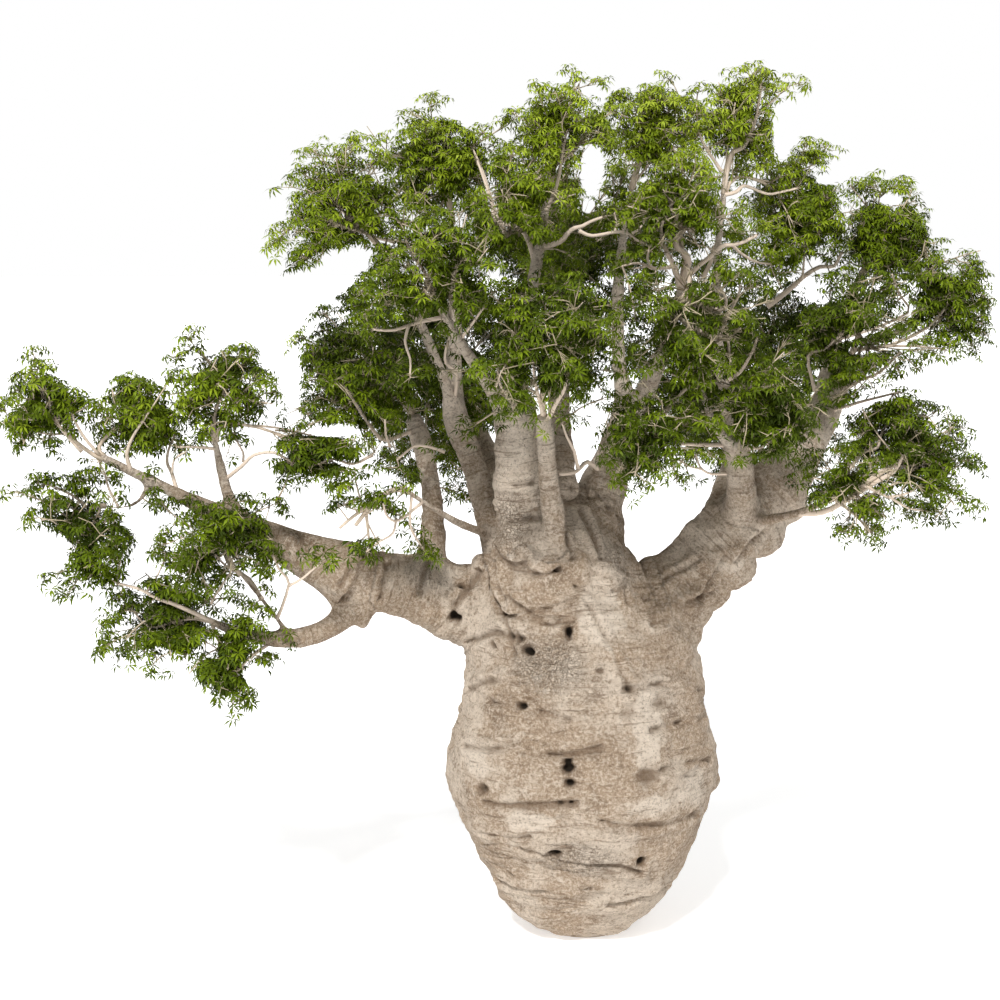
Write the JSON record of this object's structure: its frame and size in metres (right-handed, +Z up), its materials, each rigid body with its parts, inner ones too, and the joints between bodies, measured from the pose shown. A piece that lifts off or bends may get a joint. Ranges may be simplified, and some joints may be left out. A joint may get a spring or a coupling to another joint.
{
  "type": "baobab tree",
  "caption": "Baobab tree with a bottle-shaped swollen trunk, a long arm to the left, tall slender stems and an open, wide crown of leafy masses.",
  "frame": {"origin": "middle of the flat cut under the trunk, at ground level", "axes": "+Z up, +X towards the right arm (the right side of the picture), +Y away from the picture's viewer"},
  "size_m": [11.2184, 6.2949, 9.9721],
  "materials": {
    "bark": "smooth pale grey-brown bark with folds and pits",
    "foliage": "matt green leaves in sprays on thin twigs"
  },
  "bodies": {
    "root": {"trunk": "bark", "left_arm": "bark", "left_upper_arm": "bark", "left_lower_arm": "bark", "left_riser": "bark", "left_outer_branch": "bark", "left_low_riser": "bark", "left_back_stem": "bark", "left_stem": "bark", "left_crown_limb": "bark", "far_left_limb": "bark", "front_left_limb": "bark", "centre_stem": "bark", "centre_crown_limb": "bark", "centre_left_limb": "bark", "front_stem": "bark", "centre_right_stem": "bark", "hub_limb": "bark", "top_limb": "bark", "right_arm": "bark", "right_upper_arm": "bark", "right_back_limb": "bark", "right_riser": "bark", "right_crown_limb": "bark", "right_front_limb": "bark", "right_low_limb": "bark", "back_left_stem": "bark", "back_stem": "bark", "back_right_limb": "bark", "left_tip_foliage": "foliage", "left_crest_foliage": "foliage", "left_outer_foliage": "foliage", "left_top_foliage": "foliage", "left_link_foliage": "foliage", "left_inner_foliage": "foliage", "left_low_foliage": "foliage", "left_bottom_foliage": "foliage", "left_middle_foliage": "foliage", "front_left_foliage": "foliage", "far_left_foliage": "foliage", "left_shoulder_foliage": "foliage", "left_crown_foliage": "foliage", "centre_crown_foliage": "foliage", "centre_front_foliage": "foliage", "front_foliage": "foliage", "top_foliage": "foliage", "hub_foliage": "foliage", "hub_low_foliage": "foliage", "right_front_foliage": "foliage", "riser_foliage": "foliage", "right_crown_foliage": "foliage", "right_shoulder_foliage": "foliage", "right_back_foliage": "foliage", "right_outer_foliage": "foliage", "right_middle_foliage": "foliage", "right_low_foliage": "foliage", "right_under_foliage": "foliage", "back_left_foliage": "foliage", "back_foliage": "foliage", "back_right_foliage": "foliage"}
  },
  "joints": []
}
